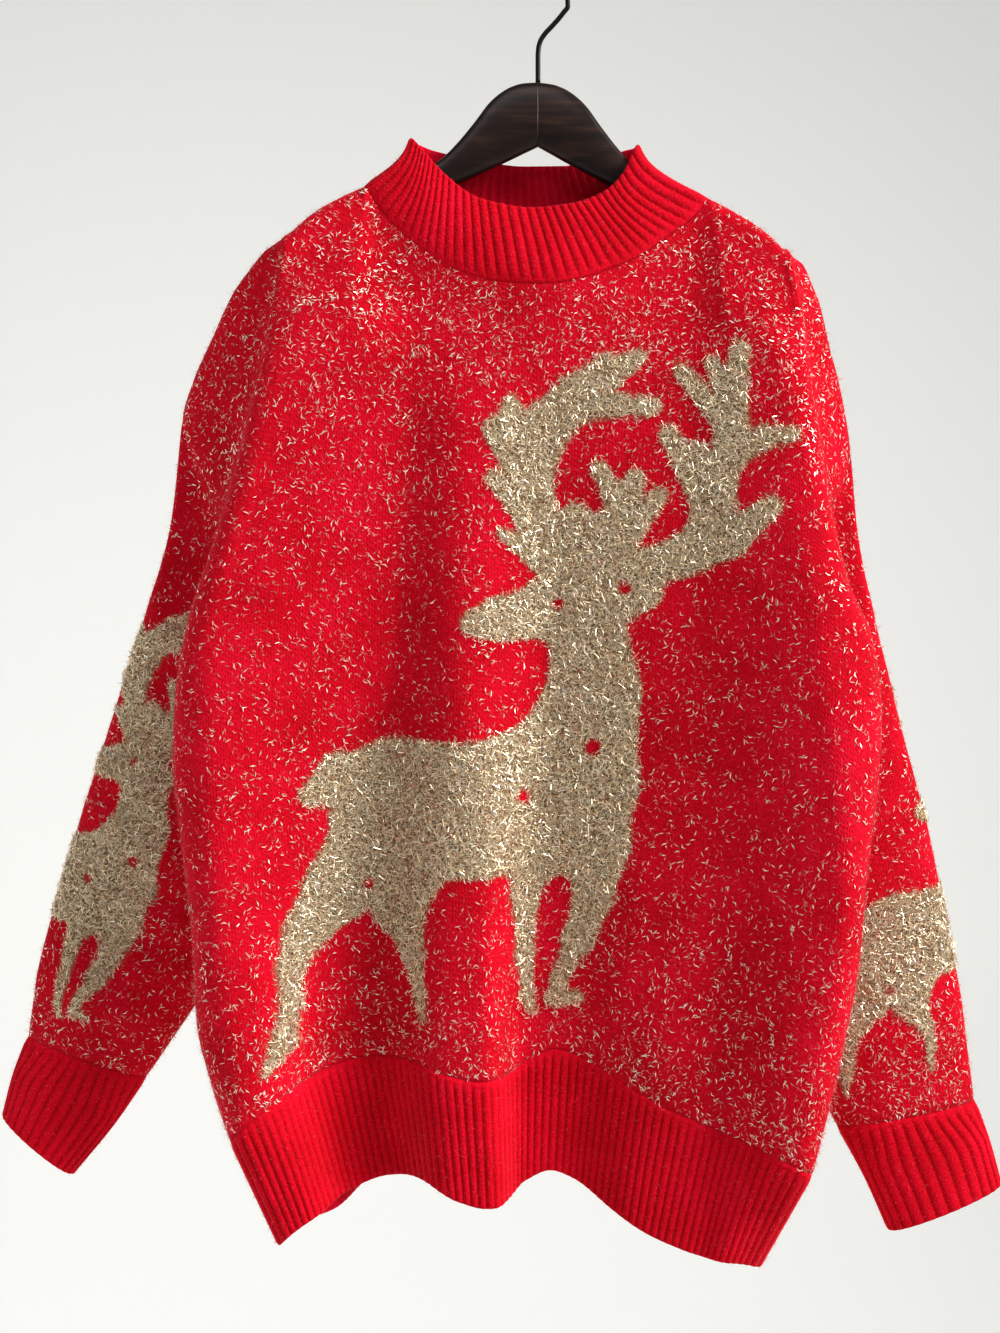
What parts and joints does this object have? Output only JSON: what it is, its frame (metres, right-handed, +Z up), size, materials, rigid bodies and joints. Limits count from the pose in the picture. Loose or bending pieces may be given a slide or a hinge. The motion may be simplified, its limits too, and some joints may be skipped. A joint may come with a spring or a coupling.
{
  "type": "christmas sweater on a wooden hanger",
  "caption": "Oversized knitted Christmas pullover with a ribbed mock neck, cuffs and hem, hanging in soft folds on a dark wooden hanger with a wire hook.",
  "frame": {"origin": "inner top of the hanger's hook, where a rail or nail holds it", "axes": "+Z up, the front faces -Y, +X towards the wearer's left sleeve"},
  "size_m": [0.6905, 0.1159, 0.8702],
  "materials": {
    "wool": "brushed red wool knit with short champagne metallic hairs",
    "ribbed_wool": "plain red ribbed wool knit",
    "wood": "dark stained, satin lacquer",
    "hook_steel": "black, smooth"
  },
  "bodies": {
    "root": {"front": "wool", "back": "wool", "sleeve_right": "wool", "sleeve_left": "wool", "cuff_right": "ribbed_wool", "cuff_left": "ribbed_wool", "hem_front": "ribbed_wool", "hem_back": "ribbed_wool", "collar": "ribbed_wool", "hanger_right": "wood", "hanger_left": "wood", "hook": "hook_steel"}
  },
  "joints": []
}
